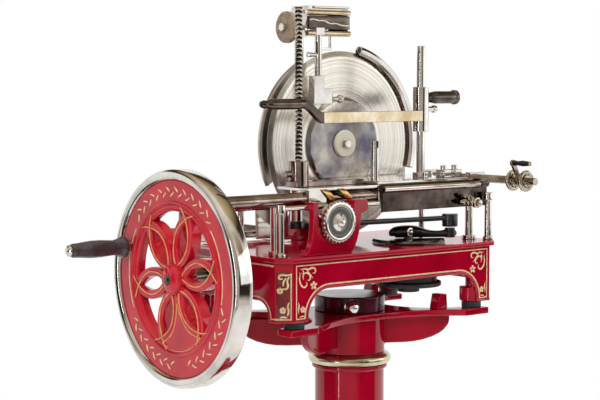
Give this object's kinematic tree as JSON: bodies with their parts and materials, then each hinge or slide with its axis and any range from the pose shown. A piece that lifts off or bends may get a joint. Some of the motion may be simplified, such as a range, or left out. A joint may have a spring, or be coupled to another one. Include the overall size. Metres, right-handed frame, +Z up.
{
  "type": "hand crank meat slicer",
  "caption": "Pedestal meat slicer worked by an openwork flywheel with a crank grip: round blade, sliding carriage, cross-fed meat table, press, thickness dial and built-in sharpener.",
  "frame": {"origin": "on the floor under the middle of the base casting, at the pedestal's flat foot", "axes": "+Z up; +X along the carriage's travel, from the flywheel to the cross-feed end; the operator's side is -Y and the blade faces it"},
  "size_m": [0.784, 0.561, 1.367],
  "materials": {
    "red_enamel": "deep red gloss enamel",
    "chrome": "bright plating",
    "nickel": "warm nickel plating",
    "brushed_steel": "ground steel",
    "black_steel": "black gloss paint",
    "dark_iron": "dark machined iron",
    "grip_black": "dark moulded grip",
    "rubber": "matt",
    "cream_enamel": "cream enamel",
    "abrasive_stone": "bonded abrasive, brown grey"
  },
  "bodies": {
    "stand": {"stand_foot": "red_enamel", "stand_column": "red_enamel", "stand_bead_ring": "nickel", "stand_plate": "red_enamel", "stand_turret": "dark_iron", "anchor_lugs": "red_enamel", "base_frame": "red_enamel", "rubber_feet": "rubber", "gear_case": "dark_iron", "gear_case_cover": "dark_iron", "carriage_rail": "chrome", "rail_supports": "chrome", "rear_rail": "brushed_steel", "corner_posts": "chrome", "front_guide_rod": "chrome", "dial_yoke": "red_enamel", "blade_pillar": "brushed_steel", "blade_guard": "chrome", "deflector_plate": "brushed_steel", "slice_tray": "brushed_steel", "tray_bars": "brushed_steel", "sharpener_post": "chrome"},
    "flywheel": {"flywheel_rim": "chrome", "flywheel_disc": "red_enamel", "flywheel_shaft": "brushed_steel", "flywheel_bolt": "dark_iron", "grip_spindle": "chrome"},
    "hand_grip": {"crank_grip": "grip_black"},
    "crank": {"crank_shaft": "brushed_steel", "crank_disc": "dark_iron", "crank_arm": "black_steel"},
    "slicing_blade": {"blade": "brushed_steel", "blade_hub_disc": "cream_enamel", "blade_bolt": "brushed_steel", "blade_shaft": "brushed_steel"},
    "carriage": {"carriage_saddle": "brushed_steel", "carriage_apron": "chrome"},
    "drive_rod": {"connecting_rod": "black_steel"},
    "table": {"meat_table": "brushed_steel", "rack_bracket": "brushed_steel", "toothed_rack": "brushed_steel", "tall_post": "chrome", "meat_pin": "chrome", "table_clamps": "dark_iron"},
    "cross_feed": {"feed_screw": "brushed_steel", "feed_hand_rings": "chrome", "feed_crank_arm": "chrome"},
    "feed_handle": {"feed_grip": "grip_black"},
    "meat_press": {"press_clamp": "chrome", "press_bar": "chrome", "press_grip": "chrome", "press_side_grip": "chrome"},
    "dial": {"thickness_dial": "dark_iron", "dial_dome_nut": "chrome"},
    "sharpener_head": {"sharpener_housing": "chrome", "sharpener_stem": "chrome"},
    "grinding_stone": {"sharpening_stone": "abrasive_stone"},
    "knob": {"lock_knob": "chrome"},
    "lever": {"clamp_lever": "chrome"}
  },
  "joints": [
    {"name": "flywheel_spin", "type": "hinge", "parent": "stand", "child": "flywheel", "pos_m": [-0.391, 0, 0.888], "axis": [1, 0, 0], "continuous": true},
    {"name": "grip_spin", "type": "hinge", "parent": "flywheel", "child": "hand_grip", "pos_m": [-0.391, 0.13981, 0.93342], "axis": [1, 0, 0], "continuous": true},
    {"name": "crank_turn", "type": "hinge", "parent": "stand", "child": "crank", "pos_m": [0.111, -0.055, 0.928], "axis": [0, 0, 1], "continuous": true},
    {"name": "blade_spin", "type": "hinge", "parent": "stand", "child": "slicing_blade", "pos_m": [0.032, 0.048, 1.11], "axis": [0, 1, 0], "continuous": true},
    {"name": "carriage_slide", "type": "slide", "parent": "stand", "child": "carriage", "axis": [1, 0, 0], "range_m": [-0.152, 0.008]},
    {"name": "rod_swing", "type": "hinge", "parent": "carriage", "child": "drive_rod", "pos_m": [-0.158, -0.052, 0.966], "axis": [0, 0, 1], "range_deg": [-6.8, 20.3]},
    {"name": "table_feed", "type": "slide", "parent": "carriage", "child": "table", "axis": [0, 1, 0], "range_m": [-0.08, 0]},
    {"name": "feed_turn", "type": "hinge", "parent": "carriage", "child": "cross_feed", "pos_m": [0.242, 0, 1.044], "axis": [0, 1, 0], "range_deg": [-3600, 0]},
    {"name": "feed_handle_spin", "type": "hinge", "parent": "cross_feed", "child": "feed_handle", "pos_m": [0.22416, -0.226, 1.07755], "axis": [0, 1, 0], "continuous": true},
    {"name": "press_height", "type": "slide", "parent": "table", "child": "meat_press", "axis": [0, 0, 1], "range_m": [-0.072, 0.06]},
    {"name": "dial_turn", "type": "hinge", "parent": "stand", "child": "dial", "pos_m": [-0.137, -0.123, 0.983], "axis": [0, 1, 0], "range_deg": [-150, 150]},
    {"name": "sharpener_lift", "type": "slide", "parent": "stand", "child": "sharpener_head", "axis": [0, 0, 1], "range_m": [-0.012, 0.03]},
    {"name": "stone_spin", "type": "hinge", "parent": "sharpener_head", "child": "grinding_stone", "pos_m": [-0.1, 0.04, 1.327], "axis": [1, 0, 0], "continuous": true},
    {"name": "lock_turn", "type": "hinge", "parent": "stand", "child": "knob", "pos_m": [0.012, 0, 0.815], "axis": [0.6157, 0.788, 0], "range_deg": [-90, 360]},
    {"name": "lever_turn", "type": "hinge", "parent": "carriage", "child": "lever", "pos_m": [0.226, -0.105, 0.998], "axis": [0, 1, 0], "range_deg": [-35, 35]}
  ],
  "couplings": [
    {"joint": "crank_turn", "follows": "flywheel_spin", "ratio": 1},
    {"joint": "blade_spin", "follows": "flywheel_spin", "ratio": 2},
    {"joint": "feed_turn", "follows": "table_feed", "rad_per_m": 785.4}
  ]
}
